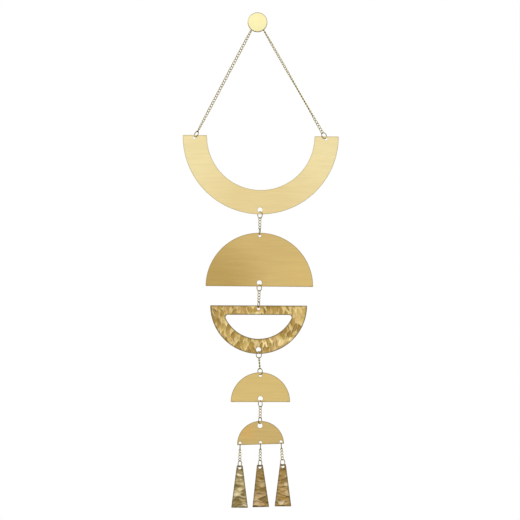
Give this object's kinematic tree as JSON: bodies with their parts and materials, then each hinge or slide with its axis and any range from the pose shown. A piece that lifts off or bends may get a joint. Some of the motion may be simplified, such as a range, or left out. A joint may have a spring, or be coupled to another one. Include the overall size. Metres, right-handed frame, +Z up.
{
  "type": "wall hanging",
  "caption": "Wall hanging of plain and hammered half rings, half discs and slim drops in sheet brass, joined by jump rings and curb chain under a chain draped over a wall pin.",
  "frame": {"origin": "on the wall pin's axis, where the pin goes into the wall", "axes": "+Z up, the hanging's length; +Y into the wall; the front faces -Y; +X to the right seen from the front"},
  "size_m": [0.1523, 0.0256, 0.4835],
  "materials": {
    "pale_brass": "satin, pale",
    "warm_brass": "satin, warmer and darker",
    "hammered_brass": "hammered in narrow strokes, brighter on the ridges",
    "wire_brass": "drawn wire, slightly dull",
    "pin_brass": "polished, pale"
  },
  "bodies": {
    "root": {"bottom_half_disc": "warm_brass", "bottom_half_disc_chain": "wire_brass", "bottom_half_disc_chain_lower_ring": "wire_brass", "bottom_half_disc_chain_upper_ring": "wire_brass", "drop_left": "hammered_brass", "drop_left_chain": "wire_brass", "drop_left_chain_lower_ring": "wire_brass", "drop_left_chain_upper_ring": "wire_brass", "drop_middle": "hammered_brass", "drop_middle_chain": "wire_brass", "drop_middle_chain_lower_ring": "wire_brass", "drop_middle_chain_upper_ring": "wire_brass", "drop_right": "hammered_brass", "drop_right_chain": "wire_brass", "drop_right_chain_lower_ring": "wire_brass", "drop_right_chain_upper_ring": "wire_brass", "half_ring": "pale_brass", "hammered_half_ring": "hammered_brass", "hammered_half_ring_chain": "wire_brass", "hammered_half_ring_chain_lower_ring": "wire_brass", "hammered_half_ring_chain_upper_ring": "wire_brass", "hanging_chain": "wire_brass", "hanging_chain_left_ring": "wire_brass", "hanging_chain_right_ring": "wire_brass", "large_half_disc": "warm_brass", "large_half_disc_chain": "wire_brass", "large_half_disc_chain_lower_ring": "wire_brass", "large_half_disc_chain_upper_ring": "wire_brass", "small_half_disc": "warm_brass", "small_half_disc_chain": "wire_brass", "small_half_disc_chain_lower_ring": "wire_brass", "small_half_disc_chain_upper_ring": "wire_brass", "wall_pin": "pin_brass"}
  },
  "joints": []
}
